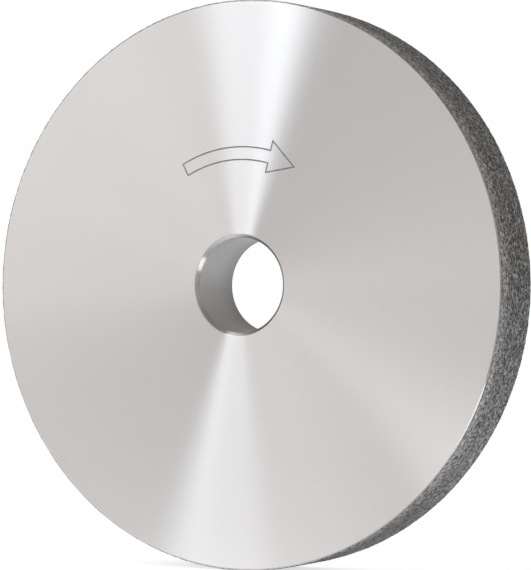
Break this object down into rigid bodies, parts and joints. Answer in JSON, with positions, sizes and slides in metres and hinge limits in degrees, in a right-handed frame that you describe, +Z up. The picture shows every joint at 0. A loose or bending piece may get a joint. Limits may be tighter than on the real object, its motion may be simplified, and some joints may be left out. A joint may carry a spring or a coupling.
{
  "type": "diamond grinding wheel",
  "caption": "Straight diamond grinding wheel: a flat turned aluminium disc with a round bore chamfered at the front, its outside plated with diamond grit held in nickel.",
  "frame": {"origin": "centre of the wheel: on the bore's axis, halfway between the two flat faces", "axes": "+Y along the bore's axis, from the marked front face to the back face, +Z up, +X to the right seen from the front"},
  "size_m": [0.1524, 0.019, 0.1524],
  "materials": {
    "turned_aluminium": "bright, faced on a lathe, fine concentric tool marks",
    "plated_nickel": "matt electroplated nickel, pebbled where it climbs round the grains",
    "diamond_grit": "dark grey crystals with bright facets, sharp and granular"
  },
  "bodies": {
    "root": {"wheel_core": "turned_aluminium", "nickel_bond": "plated_nickel", "diamond_grit": "diamond_grit"}
  },
  "joints": []
}
